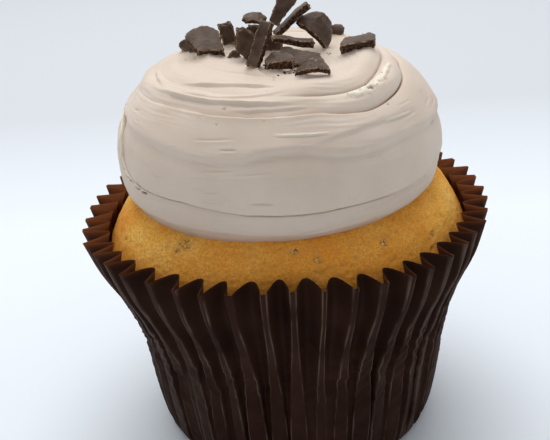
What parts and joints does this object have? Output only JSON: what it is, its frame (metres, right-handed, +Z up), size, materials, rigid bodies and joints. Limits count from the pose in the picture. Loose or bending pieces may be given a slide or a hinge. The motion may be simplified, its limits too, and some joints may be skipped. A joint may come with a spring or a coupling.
{
  "type": "cupcake",
  "caption": "Cupcake in a fluted brown paper case, with a domed yellow cake, a tall swirl of frosting and dark chocolate shards on top.",
  "frame": {"origin": "middle of the flat base of the paper case", "axes": "+Z up along the cupcake's axis; -Y towards the side that the picture shows"},
  "size_m": [0.0805, 0.0781, 0.0918],
  "materials": {
    "paper": "thin dark brown greaseproof baking paper, pleated, with a soft sheen",
    "cake": "baked yellow cake with a golden crust and fine open crumb",
    "frosting": "smooth pale mocha buttercream, matt with a faint sheen",
    "chocolate": "dark chocolate, smooth greyish faces and crumbly broken edges"
  },
  "bodies": {
    "root": {"paper_case": "paper", "cake": "cake", "frosting": "frosting", "shard_small_left": "chocolate", "shard_block": "chocolate", "shard_rear_block": "chocolate", "shard_plate_left": "chocolate", "shard_crumb": "chocolate", "shard_slab_left": "chocolate", "shard_stick": "chocolate", "shard_foot_chunk": "chocolate", "shard_flat_right": "chocolate", "shard_crossing": "chocolate", "shard_edge": "chocolate", "shard_curved": "chocolate", "shard_tall": "chocolate", "shard_leaf": "chocolate", "shard_crescent": "chocolate", "shard_wedge": "chocolate", "shard_curl": "chocolate"}
  },
  "joints": []
}
